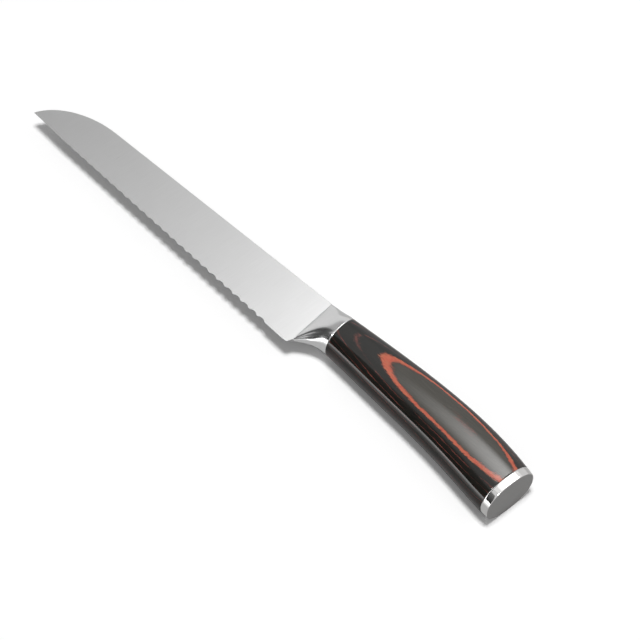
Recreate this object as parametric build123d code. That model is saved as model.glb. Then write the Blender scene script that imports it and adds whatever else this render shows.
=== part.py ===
"""Bread knife with a serrated blade, steel bolster, laminated wood handle and steel end cap.

The knife lies on its side: +X runs from the tip to the butt, +Y from the edge to the spine,
+Z up out of the blade's left face. It is drawn with X = 0 where the spine meets the bolster and
Z = 0 on the left face, then moved so that the origin is the bottom centre of the whole knife.
"""
from build123d import *
import math
import os

# Blade
blade_length = 200.6        # bolster line to tip
blade_thickness = 2.0
blade_heel_height = 31.8    # spine to edge at the heel
edge_rise = 0.052           # edge climbs towards the spine, mm per mm of length
nose_length = 41.0          # ellipse from the straight spine down to the tip
nose_drop = 25.6
tip_plain_length = 30.0     # plain, straighter edge behind the tip
tip_height = 20.6           # spine line to the tip
spine_chamfer = 0.25
heel_corner_length = 1.2    # the cut corner, along the edge
heel_corner_rise = 0.3
# Serration, ground from the right side
grind_angle = 15.0
edge_land = 0.1
scallop_pitch = 6.1
scallop_count = 26
scallop_depth_heel = 0.34
scallop_depth_tip = 0.18
grind_width = 12.0          # cutter size past the tooth line
grind_stroke = 20.0
grind_overrun = 3.0
plain_heel = 12.8           # heel corner to the first tooth
# Bolster
bolster_length = 16.2
bolster_tilt = 7.5          # degrees, both bolster ends lean with the heel
bolster_front_height = 28.4
bolster_front_clearance = 1.08   # front thickness over the blade's
bolster_front_power = 5.0
# Between its ends: share of the length, top, and the shares of the way from the front to the
# handle for the bottom and the thickness, then the section power
bolster_middles = [
    (0.33, 0.1, 5 / 9, 0.44, 2.6),
    (0.68, 0.2, 58 / 63, 0.79, 2.35),
]
# Handle, from the bolster to the butt end: share of the length, back above the spine line, height
handle_length = 116.9       # bolster to end cap
handle_stations = [
    (0.0, 0.2, 22.3),
    (0.2, 1.4, 25.4),
    (0.4, 2.1, 28.2),
    (0.6, 1.7, 30.2),
    (0.8, -0.6, 31.4),
    (1.0, -5.7, 29.6),
]
handle_front_thickness = 15.2
handle_butt_thickness = 17.5
section_power = 2.3
# End cap
cap_length = 4.4
cap_rim_radius = 0.4
stud_radius = 3.2
stud_length = 15.0
stud_groove_depth = 0.5
stud_groove_width = 1.5
stud_groove_count = 3
# Tang
tang_width = 8.0
tang_axis_y = -13.5
stub_length = 28.0          # behind the bolster
bar_thickness = 2.2
bar_gap = 5.9               # between the bar and the stud
bar_start = 6.0             # behind the bolster
bar_length = handle_length - bar_start - stud_length - bar_gap
rivet_radius = 1.6
rivet_head_radius = 2.6
rivet_head_height = 0.5
rivet_spacing = 9.0
bore_height = 10.0
bore_thickness = 8.4
bore_overrun = 20.0         # past both ends of the handle
slot_clearance = 0.05

MID_Z = -blade_thickness / 2
TILT = math.tan(math.radians(bolster_tilt))
CAP_SHARE = handle_length / (handle_length + cap_length)
SECTION_POINTS = 36
CUTTER_LEAD = 10.0          # cutter length past the bolster line


def edge_y(x):
    """Height of the tooth line at x."""
    return -blade_heel_height - edge_rise * x


def section(x, top, bottom, thickness, power, tilt=0.0):
    """Closed superellipse between two heights, on an upright plane that leans by tilt."""
    half_height = (top - bottom) / 2
    centre = (top + bottom) / 2
    half_thickness = thickness / 2
    dense = []
    for i in range(1441):
        angle = 2 * math.pi * i / 1440
        c = math.cos(angle)
        s = math.sin(angle)
        y = centre + half_height * math.copysign(abs(c) ** (2 / power), c)
        z = MID_Z + half_thickness * math.copysign(abs(s) ** (2 / power), s)
        dense.append((y, z))
    run = [0.0]
    for (y0, z0), (y1, z1) in zip(dense, dense[1:]):
        run.append(run[-1] + math.hypot(y1 - y0, z1 - z0))
    points = []
    j = 0
    for k in range(SECTION_POINTS):
        target = run[-1] * k / SECTION_POINTS
        while run[j + 1] < target:
            j += 1
        y, z = dense[j]
        points.append((x - tilt * y, y, z))
    return Face(Wire([Spline(*points, periodic=True)]))


def through_stations(column, share):
    """Smooth curve through one column of the handle stations, at any share of the length."""
    value = 0.0
    for i, here in enumerate(handle_stations):
        weight = 1.0
        for j, other in enumerate(handle_stations):
            if j != i:
                weight *= (share - other[0]) / (here[0] - other[0])
        value += weight * here[column]
    return value


def handle_section(share):
    """Section of the handle, at a share of the length from the bolster to the butt end."""
    x = bolster_length + (handle_length + cap_length) * share
    back = through_stations(1, share)
    height = through_stations(2, share)
    thickness = handle_front_thickness + (handle_butt_thickness - handle_front_thickness) * share
    return section(x, back, back - height, thickness, section_power, TILT * (1 - share))


def blade():
    start_y = edge_y(0)
    tip_sine = 1 - tip_height / nose_drop
    nose_x = -blade_length + nose_length * math.sqrt(1 - tip_sine ** 2)
    tooth_end = -blade_length + tip_plain_length
    heel_x = TILT * bolster_front_height
    nose_sweep = 90 - math.degrees(math.asin(tip_sine))
    nose = EllipticalCenterArc((nose_x, -nose_drop), nose_length, nose_drop, 90,
                               arc_size=nose_sweep)
    tip = nose @ 1
    corner = (heel_x - heel_corner_length, start_y + heel_corner_rise)
    lines = [
        Line((0, 0), nose @ 0),
        nose,
        Line(tip, (tooth_end, edge_y(tooth_end))),
        Line((tooth_end, edge_y(tooth_end)), (0, start_y)),
        Line((0, start_y), corner),
        Line(corner, (heel_x, -bolster_front_height)),
        Line((heel_x, -bolster_front_height), (0, 0)),
    ]
    outline = make_face(Curve() + lines)
    blank = extrude(outline, -blade_thickness)
    spine_edges = [e for e in blank.edges() if e.center().Y > -nose_drop * 0.6
                   and abs(e.tangent_at(0.5).Z) < 0.5 and e.length > 20 and e.center().X < -5]
    blank = chamfer(spine_edges, spine_chamfer)
    stub = Box(bolster_length + stub_length, tang_width, blade_thickness, align=(Align.MIN,
               Align.CENTER, Align.MAX)).moved(Location((0, tang_axis_y, 0)))
    return blank + stub - grinding()


def grinding():
    """Everything that the grinding wheel takes off the right side, as one long cutter."""
    slope = math.atan(edge_rise)
    along = Vector(-math.cos(slope), math.sin(slope), 0)
    inward = Vector(math.sin(slope), math.cos(slope), 0)
    lean = math.radians(grind_angle)
    stroke = inward * math.cos(lean) + Vector(0, 0, -math.sin(lean))
    wheel = Plane(origin=(0, edge_y(0), -edge_land), x_dir=along, z_dir=stroke)
    outward = -1 if wheel.y_dir.Z > 0 else 1
    curves = []
    here = plain_heel
    curves.append(Line((-CUTTER_LEAD, 0), (here, 0)))
    for k in range(scallop_count):
        share = k / (scallop_count - 1)
        depth = scallop_depth_heel + (scallop_depth_tip - scallop_depth_heel) * share
        middle = (here + scallop_pitch / 2, -outward * depth)
        curves.append(ThreePointArc((here, 0), middle, (here + scallop_pitch, 0)))
        here += scallop_pitch
    far = blade_length + 2 * CUTTER_LEAD
    side = outward * grind_width
    curves.append(Polyline((here, 0), (far, 0), (far, side), (-CUTTER_LEAD, side),
                           (-CUTTER_LEAD, 0)))
    profile = make_face(Curve() + curves)
    cutter = extrude(wheel * profile, grind_stroke) + extrude(wheel * profile, -grind_overrun)
    return cutter


def bolster():
    growth = handle_front_thickness - blade_thickness
    fall = handle_stations[0][2] - handle_stations[0][1] - bolster_front_height
    sections = [section(0, 0.0, -bolster_front_height, blade_thickness * bolster_front_clearance,
                        bolster_front_power, TILT)]
    for share, top, bottom_share, thickness_share, power in bolster_middles:
        bottom = -bolster_front_height - fall * bottom_share
        thickness = blade_thickness + growth * thickness_share
        sections.append(section(bolster_length * share, top, bottom, thickness, power, TILT))
    body = loft(sections + [handle_section(0)])
    slot = Box(60, tang_width + 2 * slot_clearance, blade_thickness + 2 * slot_clearance)
    return body - slot.moved(Location((0, tang_axis_y, MID_Z)))


def bore():
    length = handle_length + 2 * bore_overrun
    return Box(length, bore_height, bore_thickness, align=(Align.MIN, Align.CENTER, Align.CENTER)
               ).moved(Location((bolster_length - bore_overrun, tang_axis_y, MID_Z)))


def handle_body():
    shares = [station[0] for station in handle_stations[:-1]] + [CAP_SHARE]
    return loft([handle_section(share) for share in shares])


def tang_bar():
    bar = Box(bar_length, tang_width, bar_thickness, align=(Align.MIN, Align.CENTER, Align.MAX))
    bar = bar.moved(Location((bolster_length + bar_start, tang_axis_y, -blade_thickness)))
    return bar


def rivet_places():
    middle = bolster_length + (bar_start + stub_length) / 2
    return [middle - rivet_spacing / 2, middle + rivet_spacing / 2]


def rivets():
    stack = blade_thickness + bar_thickness
    group = []
    for x in rivet_places():
        shank = Cylinder(rivet_radius, stack, align=(Align.CENTER, Align.CENTER, Align.MAX))
        head = Cylinder(rivet_head_radius, rivet_head_height,
                        align=(Align.CENTER, Align.CENTER, Align.MIN))
        tail = head.moved(Location((0, 0, -stack - rivet_head_height)))
        group.append((shank + head + tail).moved(Location((x, tang_axis_y, 0))))
    return group


def cap():
    body = loft([handle_section(CAP_SHARE), handle_section(1)])
    rim = body.faces().sort_by(Axis.X)[-1].edges()
    return fillet(rim, cap_rim_radius)


def cap_stud():
    end_x = bolster_length + handle_length
    stud = Cylinder(stud_radius, stud_length, align=(Align.CENTER, Align.CENTER, Align.MIN))
    for k in range(stud_groove_count):
        ring = Cylinder(stud_radius + 1, stud_groove_width) - Cylinder(
            stud_radius - stud_groove_depth, stud_groove_width)
        stud -= ring.moved(Location((0, 0, stud_length * (k + 1) / (stud_groove_count + 1))))
    stud = stud.rotate(Axis.Y, 90)
    return stud.moved(Location((end_x - stud_length, tang_axis_y, MID_Z)))


rivet_group = rivets()
shanks = [Cylinder(rivet_radius, 60).moved(Location((x, tang_axis_y, 0))) for x in rivet_places()]
blade_solid = blade() - shanks
bar_solid = tang_bar() - shanks
bolster_solid = bolster()
handle_solid = handle_body() - bore()
stud_solid = cap_stud()
cap_solid = cap()
fill_solid = (handle_body() & bore()) - blade_solid - bar_solid - stud_solid - rivet_group

nodes = {
    "blade": blade_solid,
    "bolster": bolster_solid,
    "tang_bar": bar_solid,
    "tang_rivets": Compound(children=[r.solid() for r in rivet_group]),
    "handle_block": handle_solid,
    "adhesive_fill": fill_solid,
    "end_cap": cap_solid,
    "cap_stud": stud_solid,
}
box = Compound(children=[Compound(s.solids()) for s in nodes.values()]).bounding_box()
shift = Location((-(box.min.X + box.max.X) / 2, -(box.min.Y + box.max.Y) / 2, -box.min.Z))
os.makedirs("parts", exist_ok=True)
for name, shape in nodes.items():
    export_step(Compound([s.moved(shift) for s in shape.solids()]), f"parts/{name}.step")
print("size", box.size, "shift", shift.position)
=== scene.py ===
import math
import bpy
import numpy as np
from mathutils import Matrix, Vector


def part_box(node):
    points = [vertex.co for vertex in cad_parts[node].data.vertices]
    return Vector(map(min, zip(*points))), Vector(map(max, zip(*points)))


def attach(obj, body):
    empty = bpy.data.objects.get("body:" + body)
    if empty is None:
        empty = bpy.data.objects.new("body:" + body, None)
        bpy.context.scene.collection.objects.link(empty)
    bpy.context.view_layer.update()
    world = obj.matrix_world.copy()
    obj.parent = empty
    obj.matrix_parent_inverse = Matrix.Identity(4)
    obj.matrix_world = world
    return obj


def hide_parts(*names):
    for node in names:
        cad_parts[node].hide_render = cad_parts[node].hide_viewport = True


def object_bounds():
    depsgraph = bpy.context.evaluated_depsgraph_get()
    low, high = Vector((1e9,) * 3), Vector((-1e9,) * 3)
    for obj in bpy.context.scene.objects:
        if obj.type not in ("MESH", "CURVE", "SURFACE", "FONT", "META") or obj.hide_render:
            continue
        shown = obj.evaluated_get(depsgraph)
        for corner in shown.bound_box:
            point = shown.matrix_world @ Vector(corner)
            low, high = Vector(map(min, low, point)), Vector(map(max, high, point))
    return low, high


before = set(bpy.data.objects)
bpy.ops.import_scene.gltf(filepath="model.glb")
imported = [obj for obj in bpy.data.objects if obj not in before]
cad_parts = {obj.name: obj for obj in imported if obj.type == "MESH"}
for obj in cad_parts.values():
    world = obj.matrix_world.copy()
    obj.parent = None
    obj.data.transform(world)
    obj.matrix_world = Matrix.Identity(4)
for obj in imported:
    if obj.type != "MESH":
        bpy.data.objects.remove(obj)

cad_low, cad_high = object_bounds()
MM = 0.001

# The corner where the spine meets the bolster, on the blade's left face
BLADE_LENGTH = 200.6 * MM
blade_low, blade_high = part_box("blade")
CORNER = np.array([blade_low.x + BLADE_LENGTH, blade_high.y, blade_high.z])
MID_Z = (blade_low.z + blade_high.z) / 2 - CORNER[2]

# Handle form, in mm from that corner: share of the length, back, height
BOLSTER_LENGTH = 16.2
HANDLE_LENGTH = 116.9
CAP_LENGTH = 4.4
CAP_RIM = 0.4
FULL_LENGTH = HANDLE_LENGTH + CAP_LENGTH
STATIONS = np.array([
    (0.0, 0.2, 22.3),
    (0.2, 1.4, 25.4),
    (0.4, 2.1, 28.2),
    (0.6, 1.7, 30.2),
    (0.8, -0.6, 31.4),
    (1.0, -5.7, 29.6),
])
FRONT_THICKNESS = 15.2
BUTT_THICKNESS = 17.5
SECTION_POWER = 2.3
TILT = math.tan(math.radians(7.5))
# Bolster: share of its length, top, bottom, thickness, section power
BOLSTER_STATIONS = np.array([
    (0.0, 0.0, -28.4, 2.16, 5.0),
    (0.33, 0.1, -24.9, 7.81, 2.6),
    (0.68, 0.2, -22.6, 12.43, 2.35),
    (1.0, 0.2, -22.1, 15.2, 2.3),
])
# Points round a ring, samples that space them, and rings along each piece
AROUND = 160
RING_SAMPLES = 2881
HANDLE_ROWS = 200
BOLSTER_ROWS = 40
CAP_ROWS = 8


def through(stations, column, shares):
    """The polynomial that passes through one column of the stations, read at the shares."""
    curve = np.polyfit(stations[:, 0], stations[:, column], len(stations) - 1)
    return np.polyval(curve, shares)


def rings(x, top, bottom, thickness, power, lean, inset):
    """Superellipse rings, one row per station, with points at equal steps round each ring.

    y and z are cosine and sine to the power 2 / power, and x leans back by lean times y.
    """
    angle = np.linspace(0, 2 * np.pi, RING_SAMPLES)
    cosine, sine = np.cos(angle), np.sin(angle)
    grid = np.zeros((len(x), AROUND, 3))
    for row in range(len(x)):
        p = 2 / power[row]
        half_y = (top[row] - bottom[row]) / 2 - inset[row]
        half_z = thickness[row] / 2 - inset[row]
        y = (top[row] + bottom[row]) / 2 + half_y * np.sign(cosine) * np.abs(cosine) ** p
        z = half_z * np.sign(sine) * np.abs(sine) ** p
        run = np.concatenate([[0], np.cumsum(np.hypot(np.diff(y), np.diff(z)))])
        step = np.arange(AROUND) / AROUND * run[-1]
        y, z = np.interp(step, run, y), np.interp(step, run, z)
        grid[row] = np.stack([x[row] - lean[row] * y, y, z + MID_Z / MM], 1)
    return grid


def closed_tube(name, grid):
    """Skin over the rings, with a flat fan at each end, in metres and in the knife's place."""
    rows, around = grid.shape[:2]
    points = grid.reshape(-1, 3)
    ends = np.stack([grid[0].mean(0), grid[-1].mean(0)])
    points = np.concatenate([points, ends]) * MM + CORNER
    j, i = np.meshgrid(np.arange(rows - 1), np.arange(around), indexing="ij")
    k = (i + 1) % around
    quads = np.stack([j * around + i, j * around + k, (j + 1) * around + k,
                      (j + 1) * around + i], -1).reshape(-1, 4)
    ring = np.arange(around)
    following = (ring + 1) % around
    first = np.stack([following, ring, np.full(around, rows * around)], 1)
    base = (rows - 1) * around
    last = np.stack([base + ring, base + following, np.full(around, rows * around + 1)], 1)
    faces = [tuple(q) for q in quads.tolist() + first.tolist() + last.tolist()]
    mesh = bpy.data.meshes.new(name)
    mesh.from_pydata(points.tolist(), [], faces)
    mesh.validate()
    smooth = np.ones(len(mesh.polygons), bool)
    smooth[len(quads):] = False
    mesh.polygons.foreach_set("use_smooth", smooth)
    piece = bpy.data.objects.new(name, mesh)
    bpy.context.scene.collection.objects.link(piece)
    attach(piece, "root")
    return piece


def handle_rings(shares, inset):
    """Rings from the bolster to the butt: the thickness grows and the lean fades evenly."""
    back = through(STATIONS, 1, shares)
    height = through(STATIONS, 2, shares)
    thickness = FRONT_THICKNESS + (BUTT_THICKNESS - FRONT_THICKNESS) * shares
    return rings(BOLSTER_LENGTH + FULL_LENGTH * shares, back, back - height, thickness,
                 np.full_like(shares, SECTION_POWER), TILT * (1 - shares), inset)


def wood_rings():
    """Rings of the wooden part alone, evenly spaced from the bolster to the cap."""
    shares = np.linspace(0, HANDLE_LENGTH / FULL_LENGTH, HANDLE_ROWS)
    return handle_rings(shares, np.zeros_like(shares))


def bolster_rings():
    """Rings through the bolster's stations, all with the lean of the blade's heel."""
    shares = np.linspace(0, 1, BOLSTER_ROWS)
    top, bottom, thickness, power = (
        through(BOLSTER_STATIONS, column, shares) for column in (1, 2, 3, 4))
    return rings(BOLSTER_LENGTH * shares, top, bottom, thickness, power,
                 np.full_like(shares, TILT), np.zeros_like(shares))


def cap_rings():
    """The handle's own form carried on, then a quarter circle inwards for the rim."""
    band = np.linspace(HANDLE_LENGTH, FULL_LENGTH - CAP_RIM, CAP_ROWS)
    quarter = np.linspace(0, np.pi / 2, CAP_ROWS)[1:]
    rim = FULL_LENGTH - CAP_RIM + CAP_RIM * np.sin(quarter)
    inset = np.concatenate([np.zeros_like(band), CAP_RIM * (1 - np.cos(quarter))])
    return handle_rings(np.concatenate([band, rim]) / FULL_LENGTH, inset)


# ---------- shader helpers ----------
def new_material(name):
    material = bpy.data.materials.new(name)
    material.use_nodes = True
    nodes, links = material.node_tree.nodes, material.node_tree.links
    shader = nodes["Principled BSDF"]
    return material, nodes, links, shader


def math_node(nodes, links, kind, a, b=None, clamp=False):
    node = nodes.new("ShaderNodeMath")
    node.operation = kind
    node.use_clamp = clamp
    for socket, value in zip(node.inputs, (a, b)):
        if value is None:
            continue
        if isinstance(value, (int, float)):
            socket.default_value = value
        else:
            links.new(value, socket)
    return node.outputs[0]


def noise(nodes, links, vector, detail, rough=0.5):
    node = nodes.new("ShaderNodeTexNoise")
    node.inputs["Scale"].default_value = 1.0
    node.inputs["Detail"].default_value = detail
    node.inputs["Roughness"].default_value = rough
    links.new(vector, node.inputs["Vector"])
    return node.outputs["Fac"]


def ramp(nodes, links, value, stops):
    node = nodes.new("ShaderNodeValToRGB")
    links.new(value, node.inputs["Fac"])
    elements = node.color_ramp.elements
    while len(elements) < len(stops):
        elements.new(0.5)
    for element, (place, colour) in zip(elements, stops):
        element.position = place
        element.color = (*colour, 1)
    return node.outputs["Color"]


def grey_ramp(nodes, links, value, stops):
    return ramp(nodes, links, value, [(place, (level,) * 3) for place, level in stops])


def mix(nodes, links, factor, a, b):
    node = nodes.new("ShaderNodeMix")
    node.data_type = "RGBA"
    links.new(factor, node.inputs[0])
    for socket, value in ((node.inputs[6], a), (node.inputs[7], b)):
        if isinstance(value, tuple):
            socket.default_value = (*value, 1)
        else:
            links.new(value, socket)
    return node.outputs[2]


def eased(nodes, links, value, start, end, low, high):
    """Smooth step: low up to start, high from end on."""
    node = nodes.new("ShaderNodeMapRange")
    node.interpolation_type = "SMOOTHSTEP"
    links.new(value, node.inputs["Value"])
    for socket, level in zip(("From Min", "From Max", "To Min", "To Max"),
                             (start, end, low, high)):
        node.inputs[socket].default_value = level
    return node.outputs["Result"]


def placed(nodes, links, scale):
    """Object coordinates measured from the bolster corner, stretched by scale."""
    coordinates = nodes.new("ShaderNodeTexCoord")
    mapping = nodes.new("ShaderNodeMapping")
    mapping.inputs["Location"].default_value = [-c * s for c, s in zip(CORNER, scale)]
    mapping.inputs["Scale"].default_value = scale
    links.new(coordinates.outputs["Object"], mapping.inputs["Vector"])
    return mapping.outputs["Vector"]


def split(nodes, links, vector):
    node = nodes.new("ShaderNodeSeparateXYZ")
    links.new(vector, node.inputs[0])
    return node.outputs


def bump(nodes, links, height, strength, shader):
    """Fine relief from a height pattern, BUMP_DEPTH deep at full strength."""
    node = nodes.new("ShaderNodeBump")
    node.inputs["Strength"].default_value = strength
    node.inputs["Distance"].default_value = BUMP_DEPTH
    links.new(height, node.inputs["Height"])
    links.new(node.outputs["Normal"], shader.inputs["Normal"])


IN_MM = (1 / MM,) * 3
BUMP_DEPTH = 0.02 * MM


# ---------- materials ----------
def grain_group():
    """Satin grain shared by the steels: streaks give a roughness offset and a fine height."""
    group = bpy.data.node_groups.new("steel_grain", "ShaderNodeTree")
    group.interface.new_socket("Streaks", in_out="INPUT", socket_type="NodeSocketVector")
    group.interface.new_socket("Base", in_out="INPUT", socket_type="NodeSocketFloat")
    group.interface.new_socket("Spread", in_out="INPUT", socket_type="NodeSocketFloat")
    group.interface.new_socket("Roughness", in_out="OUTPUT", socket_type="NodeSocketFloat")
    group.interface.new_socket("Height", in_out="OUTPUT", socket_type="NodeSocketFloat")
    nodes, links = group.nodes, group.links
    source, sink = nodes.new("NodeGroupInput"), nodes.new("NodeGroupOutput")
    fine = noise(nodes, links, source.outputs["Streaks"], detail=3.0, rough=0.6)
    centred = math_node(nodes, links, "SUBTRACT", fine, 0.5)
    offset = math_node(nodes, links, "MULTIPLY", centred, source.outputs["Spread"])
    links.new(math_node(nodes, links, "ADD", source.outputs["Base"], offset),
              sink.inputs["Roughness"])
    links.new(fine, sink.inputs["Height"])
    return group


STEEL_GRAIN = grain_group()
STREAK_LOW, STREAK_HIGH = 0.3, 0.7      # grain heights of the darkest and the full tone
STREAK_TONE = 0.95


def steel(name, tone, base, spread, streaks, relief):
    """Bare metal of one tone: roughness base give or take spread, grain stretched by streaks."""
    material, nodes, links, shader = new_material(name)
    shader.inputs["Metallic"].default_value = 1.0
    grain = nodes.new("ShaderNodeGroup")
    grain.node_tree = STEEL_GRAIN
    links.new(placed(nodes, links, streaks), grain.inputs["Streaks"])
    grain.inputs["Base"].default_value = base
    grain.inputs["Spread"].default_value = spread
    links.new(grain.outputs["Roughness"], shader.inputs["Roughness"])
    bump(nodes, links, grain.outputs["Height"], relief, shader)
    shade = ramp(nodes, links, grain.outputs["Height"],
                 [(STREAK_LOW, tuple(c * STREAK_TONE for c in tone)), (STREAK_HIGH, tone)])
    links.new(shade, shader.inputs["Base Color"])
    return material


BLADE_TONE = (0.555,) * 3
BOLSTER_TONE = (0.84,) * 3
TANG_TONE = (0.45,) * 3
CAP_TONE = (0.80, 0.79, 0.78)
# Painted shade: the darker tone given to the cap's flat end face
END_FACE_PAINTED_SHADE = (0.365, 0.36, 0.355)
END_FACE_ROUGHER = 0.42
END_FACE_MARGIN = 0.06          # mm in front of the flat face, inside its rim


def cap_steel():
    """Polished round the band; satin on the flat end face, which also gets a darker tone as painted
    shade.
    """
    material = steel("cap_steel", CAP_TONE, base=0.07, spread=0.04,
                     streaks=(300, 1500, 1500), relief=0.05)
    nodes, links = material.node_tree.nodes, material.node_tree.links
    shader = nodes["Principled BSDF"]
    x = split(nodes, links, placed(nodes, links, IN_MM))[0]
    face = math_node(nodes, links, "GREATER_THAN", x,
                     BOLSTER_LENGTH + FULL_LENGTH - END_FACE_MARGIN)
    band_tone = shader.inputs["Base Color"].links[0].from_socket
    # The end face takes the painted-shade tone in place of the band's tone
    links.new(mix(nodes, links, face, band_tone, END_FACE_PAINTED_SHADE), shader.inputs["Base Color"])
    band_rough = shader.inputs["Roughness"].links[0].from_socket
    extra = math_node(nodes, links, "MULTIPLY", face, END_FACE_ROUGHER)
    links.new(math_node(nodes, links, "ADD", band_rough, extra), shader.inputs["Roughness"])
    return material


# Veneers of the handle, in mm from the corner. The red one lies RED_LEVEL from the middle plane
# at BOW_X and rises by BOW times the square of the distance from there.
VENEER = 1.2
RED_LEVEL, BOW_X, BOW = 7.36, 85.0, 5.2e-4
# They lean about a line along the handle: Y = -LINE_DROP - LINE_BEND * (X - LINE_X) squared
LEAN, LINE_X, LINE_DROP, LINE_BEND = 0.073, 16.0, 11.0, 6.3e-4
# Unevenness, slow and feathery: stretch of the pattern, swing in mm
WAVE, WAVE_SWING = (45, 110, 60), 0.7
FEATHER, FEATHER_SWING = (420, 1900, 900), 0.55
RED_CENTRE, RED_HALF, RED_HARDNESS = 0.08, 0.26, 1.9
GLUE_HALF, GLUE_BREAKS, GLUE_CUT, GLUE_HARDNESS = 0.13, (60, 500, 500), 0.36, 3.2
VENEERS_COUNTED = 24                    # keeps the count of veneers above zero everywhere
PALE_HARDNESS = 3.5
FIBRE = (130, 2600, 2600)
DARK_VENEER = [(0.3, (0.004, 0.004, 0.004)), (0.5, (0.010, 0.010, 0.008)),
               (0.75, (0.020, 0.012, 0.010))]
PALE_VENEER = [(0.25, (0.036, 0.035, 0.028)), (0.75, (0.066, 0.058, 0.048))]
RED_VENEER = [(0.3, (0.36, 0.045, 0.030)), (0.5, (0.52, 0.105, 0.055)), (0.7, (0.36, 0.15, 0.07))]
GLUE_LINE = [(0.3, (0.12, 0.03, 0.03)), (0.7, (0.25, 0.07, 0.05))]
LACQUER = {"Roughness": 0.32, "Specular IOR Level": 0.0, "Coat Weight": 1.0,
           "Coat Roughness": 0.08, "Coat IOR": 1.48}
PORE_RELIEF = 0.15


def laminated_wood():
    """Dyed veneers parallel to the blade. Where the crowned side cuts them they show as loops.

    depth = distance from the middle plane, leaned a little across the handle, less the bowed
    level of the red veneer. Zero is that veneer, and each veneer below it is one step deeper.
    """
    material, nodes, links, shader = new_material("laminated_wood")

    def calc(kind, a, b=None, clamp=False):
        return math_node(nodes, links, kind, a, b, clamp)

    def pattern(stretch, detail, rough=0.5):
        return noise(nodes, links, placed(nodes, links, stretch), detail, rough)

    def squared_from(value, start):
        return calc("POWER", calc("SUBTRACT", value, start), 2.0)

    def swing(value, size):
        return calc("MULTIPLY", calc("SUBTRACT", value, 0.5), size)

    def stripe(distance, half):
        """1 on its centre line, 0 from half a width away."""
        return calc("SUBTRACT", 1.0, calc("DIVIDE", distance, half), clamp=True)

    x, y, z = split(nodes, links, placed(nodes, links, IN_MM))
    from_middle = calc("ABSOLUTE", calc("SUBTRACT", z, MID_Z / MM))
    level = calc("ADD", calc("MULTIPLY", squared_from(x, BOW_X), BOW), RED_LEVEL)
    bend = calc("MULTIPLY", squared_from(x, LINE_X), LINE_BEND)
    across = calc("ADD", calc("ADD", y, LINE_DROP), bend)
    depth = calc("SUBTRACT", calc("ADD", from_middle, calc("MULTIPLY", across, LEAN)), level)
    feather = pattern(FEATHER, detail=4.0, rough=0.7)
    wave = pattern(WAVE, detail=2.0)
    uneven = calc("ADD", swing(wave, WAVE_SWING), swing(feather, FEATHER_SWING))
    depth = calc("ADD", depth, uneven)

    from_red = calc("ABSOLUTE", calc("ADD", depth, RED_CENTRE))
    red = calc("MULTIPLY", stripe(from_red, RED_HALF), RED_HARDNESS, clamp=True)
    from_glue = calc("PINGPONG", calc("ADD", depth, VENEERS_COUNTED * VENEER), VENEER / 2)
    whole = calc("SUBTRACT", pattern(GLUE_BREAKS, detail=2.0), GLUE_CUT)
    glue = calc("MULTIPLY", stripe(from_glue, GLUE_HALF),
                calc("MULTIPLY", whole, GLUE_HARDNESS, clamp=True))

    fibre = pattern(FIBRE, detail=4.0, rough=0.65)
    dark = ramp(nodes, links, fibre, DARK_VENEER)
    pale = ramp(nodes, links, fibre, PALE_VENEER)
    above_red = calc("MULTIPLY", depth, PALE_HARDNESS, clamp=True)
    ground = mix(nodes, links, above_red, dark, pale)
    colour = mix(nodes, links, glue, ground, ramp(nodes, links, feather, GLUE_LINE))
    colour = mix(nodes, links, red, colour, ramp(nodes, links, feather, RED_VENEER))
    links.new(colour, shader.inputs["Base Color"])
    for socket, value in LACQUER.items():
        shader.inputs[socket].default_value = value
    bump(nodes, links, fibre, PORE_RELIEF, shader)
    return material


ADHESIVE_TONES = [(0.3, (0.50, 0.45, 0.33)), (0.7, (0.60, 0.55, 0.42))]
ADHESIVE_CLOUDS = (200, 200, 200)
ADHESIVE_ROUGHNESS = 0.6


def adhesive():
    """Cloudy cured resin: the same cloud gives its tone and its roughness."""
    material, nodes, links, shader = new_material("cured_adhesive")
    cloud = noise(nodes, links, placed(nodes, links, ADHESIVE_CLOUDS), detail=3.0)
    links.new(ramp(nodes, links, cloud, ADHESIVE_TONES), shader.inputs["Base Color"])
    links.new(math_node(nodes, links, "MULTIPLY", cloud, ADHESIVE_ROUGHNESS),
              shader.inputs["Roughness"])
    return material


def dress(piece, material):
    piece.data.materials.clear()
    piece.data.materials.append(material)


# ---------- pieces ----------
handle = closed_tube("handle_wood", wood_rings())
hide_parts("handle_block")
dress(handle, laminated_wood())
bolster = closed_tube("bolster_form", bolster_rings())
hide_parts("bolster")
dress(bolster, steel("bolster_steel", BOLSTER_TONE, base=0.16, spread=0.06,
                     streaks=(1800, 300, 1800), relief=0.1))
cap = closed_tube("butt_cap", cap_rings())
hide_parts("end_cap")
dress(cap, cap_steel())
dress(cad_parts["blade"], steel("blade_steel", BLADE_TONE, base=0.30, spread=0.10,
                                     streaks=(2600, 60, 600), relief=0.12))
tang_finish = steel("tang_steel", TANG_TONE, base=0.45, spread=0.15,
                    streaks=(900, 900, 900), relief=0.3)
for inner in ("tang_bar", "tang_rivets", "cap_stud"):
    dress(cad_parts[inner], tang_finish)
dress(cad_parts["adhesive_fill"], adhesive())


# ---------- floor, lights and camera, in metres ----------
FLOOR_HALF = 6.0
FLOOR_ALBEDO = 0.90
FLOOR_MIRROR_LOSS = 0.40        # how much darker the floor is in reflections
FLOOR_LIFT = 0.10
GLOW_HEIGHT = 1.0
GLOW_X = (-2.2, 0.5)
GLOW_Y = (0.0, 1.6)
SHEET = (-1.25, -0.60, 0.40, 0.92)      # dim and full places along X, dim and full levels
POOL_CENTRE = (-0.29, 0.72)
POOL_REACH = 0.27
POOL_SQUEEZE = 0.45             # below 1 draws the pool out along Y
POOL_LEVEL = 8.6
SIDE_DISTANCE = 1.2
SIDE_HEIGHT = 2.2
SIDE_COLUMNS = 15
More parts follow.
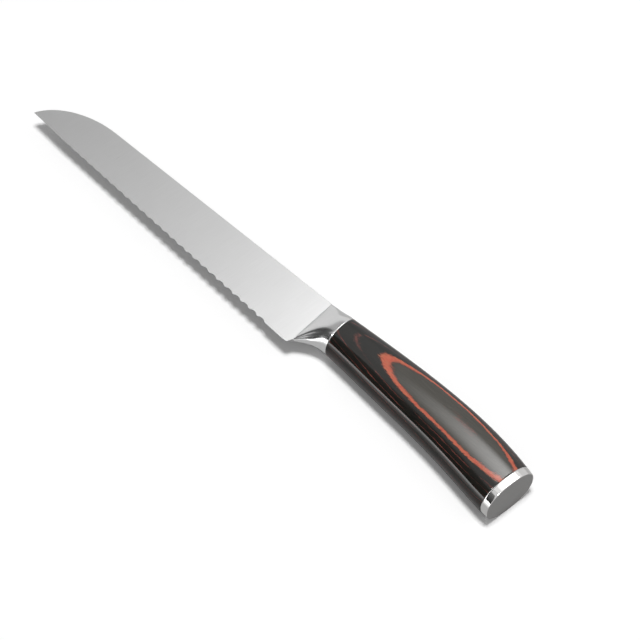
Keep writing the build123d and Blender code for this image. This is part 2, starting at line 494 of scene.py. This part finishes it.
# Each side card: first and last bearing round the knife in degrees, height share of its band
SIDE_CARDS = {"side_card_tip": (-197, -160, 0.11), "side_card_edge": (-160, -78, 0.33)}
STRIP_LEVEL = 5.5
STRIP_EDGE = 0.015
# Shares of STRIP_LEVEL: at the foot, halfway up the band, above the band, at the top
FOOT_LEVEL, HALFWAY_LEVEL, DARK_LEVEL, TOP_LEVEL = 0.10, 0.22, 0.002, 0.03
WORLD_LEVEL = 0.24
MIRRORED_LEVEL = 0.72
KEY_HEIGHT = 3.0
KEY_OFFSET = (0.15, 0.1)
KEY_SIZE = 1.0
KEY_POWER = 72.0
CAMERA_AZIMUTH = math.radians(47.68)
CAMERA_ELEVATION = math.radians(48.0)
CAMERA_ROLL = math.radians(-0.63)
CAMERA_DISTANCE = 1.162
CAMERA_AIM = (3.6, -11.1, 0)    # in mm from the corner
LENS = 139.0
SENSOR_WIDTH = 36
CLIP_START = 0.01


def card(name, corners, shader_maker):
    """Flat or bent sheet: corners run along the foot, then back along the top."""
    mesh = bpy.data.meshes.new(name)
    across = len(corners) // 2
    faces = [(i, i + 1, 2 * across - 2 - i, 2 * across - 1 - i) for i in range(across - 1)]
    mesh.from_pydata(corners, [], faces)
    piece = bpy.data.objects.new(name, mesh)
    bpy.context.scene.collection.objects.link(piece)
    material = bpy.data.materials.new(name)
    material.use_nodes = True
    shader_maker(material.node_tree.nodes, material.node_tree.links)
    mesh.materials.append(material)
    return piece


def only_in_reflections(piece):
    """Hide a card from everything but mirror-like rays."""
    piece.visible_camera = False
    piece.visible_shadow = False
    piece.visible_diffuse = False
    piece.visible_transmission = False


def floor_shader(nodes, links):
    """Matt white that glows faintly to the camera and is darker in reflections."""
    shader = nodes["Principled BSDF"]
    shader.inputs["Roughness"].default_value = 1.0
    shader.inputs["Specular IOR Level"].default_value = 0.0
    shader.inputs["Emission Color"].default_value = (1, 1, 1, 1)
    path = nodes.new("ShaderNodeLightPath")
    loss = math_node(nodes, links, "MULTIPLY", path.outputs["Is Glossy Ray"], FLOOR_MIRROR_LOSS)
    links.new(math_node(nodes, links, "SUBTRACT", FLOOR_ALBEDO, loss),
              shader.inputs["Base Color"])
    lift = math_node(nodes, links, "MULTIPLY", path.outputs["Is Camera Ray"], FLOOR_LIFT)
    links.new(lift, shader.inputs["Emission Strength"])


def plain_glow(nodes, links):
    """Emission in place of the usual shader."""
    nodes.remove(nodes["Principled BSDF"])
    glow = nodes.new("ShaderNodeEmission")
    links.new(glow.outputs[0], nodes["Material Output"].inputs["Surface"])
    return glow


def glow_shader(nodes, links):
    """Overhead soft light: a dim sheet, dimmer above the tip, with one bright pool."""
    glow = plain_glow(nodes, links)
    place = nodes.new("ShaderNodeTexCoord").outputs["Object"]
    sheet = eased(nodes, links, split(nodes, links, place)[0], *SHEET)
    squeeze = nodes.new("ShaderNodeMapping")
    squeeze.inputs["Scale"].default_value = (1, POOL_SQUEEZE, 1)
    links.new(place, squeeze.inputs["Vector"])
    reach = nodes.new("ShaderNodeVectorMath")
    reach.operation = "DISTANCE"
    reach.inputs[1].default_value = (POOL_CENTRE[0], POOL_CENTRE[1] * POOL_SQUEEZE, GLOW_HEIGHT)
    links.new(squeeze.outputs["Vector"], reach.inputs[0])
    pool = eased(nodes, links, reach.outputs["Value"], 0.0, POOL_REACH, POOL_LEVEL, 0.0)
    links.new(math_node(nodes, links, "ADD", sheet, pool), glow.inputs["Strength"])


def side_shader(strip_share):
    """Maker of a dark side card's shader: a band that brightens up to strip_share of its height."""
    def make(nodes, links):
        glow = plain_glow(nodes, links)
        height = split(nodes, links, nodes.new("ShaderNodeTexCoord").outputs["Object"])[2]
        share = math_node(nodes, links, "DIVIDE", height, SIDE_HEIGHT)
        level = grey_ramp(nodes, links, share, [
            (0.0, FOOT_LEVEL), (strip_share / 2, HALFWAY_LEVEL), (strip_share, 1.0),
            (strip_share + STRIP_EDGE, DARK_LEVEL), (1.0, TOP_LEVEL)])
        links.new(level, glow.inputs["Color"])
        glow.inputs["Strength"].default_value = STRIP_LEVEL
    return make


def rectangle(x_span, y_span, z):
    (x0, x1), (y0, y1) = x_span, y_span
    return [(x0, y0, z), (x1, y0, z), (x1, y1, z), (x0, y1, z)]


def side_corners(bearing_from, bearing_to):
    """Upright arc round the knife: its foot, then back along its top."""
    bearings = np.radians(np.linspace(bearing_from, bearing_to, SIDE_COLUMNS))
    arc = [(SIDE_DISTANCE * math.cos(a), SIDE_DISTANCE * math.sin(a)) for a in bearings]
    return [(*place, 0.0) for place in arc] + [(*place, SIDE_HEIGHT) for place in arc[::-1]]


def studio_world():
    """White to the camera, MIRRORED_LEVEL in reflections, WORLD_LEVEL as light."""
    world = bpy.data.worlds.new("studio")
    bpy.context.scene.world = world
    world.use_nodes = True
    nodes, links = world.node_tree.nodes, world.node_tree.links
    path = nodes.new("ShaderNodeLightPath")
    shown = math_node(nodes, links, "MULTIPLY", path.outputs["Is Camera Ray"], 1 - WORLD_LEVEL)
    mirrored = math_node(nodes, links, "MULTIPLY", path.outputs["Is Glossy Ray"],
                         MIRRORED_LEVEL - WORLD_LEVEL)
    both = math_node(nodes, links, "ADD", shown, mirrored)
    nodes["Background"].inputs["Color"].default_value = (1, 1, 1, 1)
    links.new(math_node(nodes, links, "ADD", both, WORLD_LEVEL),
              nodes["Background"].inputs["Strength"])


def key_light():
    """Round soft light above the knife, a little towards its butt and spine."""
    middle = (cad_low + cad_high) / 2
    light = bpy.data.lights.new("key", "AREA")
    light.shape = "DISK"
    light.size = KEY_SIZE
    light.energy = KEY_POWER
    holder = bpy.data.objects.new("key", light)
    bpy.context.scene.collection.objects.link(holder)
    holder.location = (middle.x + KEY_OFFSET[0], middle.y + KEY_OFFSET[1], KEY_HEIGHT)
    holder.rotation_mode = "QUATERNION"
    holder.rotation_quaternion = (middle - holder.location).to_track_quat("-Z", "Y")


def place_camera():
    """Camera CAMERA_DISTANCE from its aim, by azimuth from -Y, elevation and roll."""
    data = bpy.data.cameras.new("camera")
    data.sensor_width = SENSOR_WIDTH
    data.lens = LENS
    data.clip_start = CLIP_START
    camera = bpy.data.objects.new("camera", data)
    bpy.context.scene.collection.objects.link(camera)
    bpy.context.scene.camera = camera
    aim = Vector(CORNER) + Vector(CAMERA_AIM) * MM
    back_way = Vector((math.sin(CAMERA_AZIMUTH) * math.cos(CAMERA_ELEVATION),
                       -math.cos(CAMERA_AZIMUTH) * math.cos(CAMERA_ELEVATION),
                       math.sin(CAMERA_ELEVATION)))
    right_way = Vector((math.cos(CAMERA_AZIMUTH), math.sin(CAMERA_AZIMUTH), 0))
    up_way = back_way.cross(right_way)
    facing = Matrix((right_way, up_way, back_way)).transposed()
    roll = Matrix.Rotation(CAMERA_ROLL, 3, "Z")
    camera.matrix_world = Matrix.Translation(aim + back_way * CAMERA_DISTANCE) @ (
        facing @ roll).to_4x4()


FLOOR_SPAN = (-FLOOR_HALF, FLOOR_HALF)
card("floor", rectangle(FLOOR_SPAN, FLOOR_SPAN, 0), floor_shader)
only_in_reflections(card("overhead_glow", rectangle(GLOW_X, GLOW_Y, GLOW_HEIGHT), glow_shader))
for card_name, (bearing_from, bearing_to, strip_share) in SIDE_CARDS.items():
    corners = side_corners(bearing_from, bearing_to)
    only_in_reflections(card(card_name, corners, side_shader(strip_share)))
studio_world()
key_light()
place_camera()

bpy.context.scene.view_settings.view_transform = "Standard"
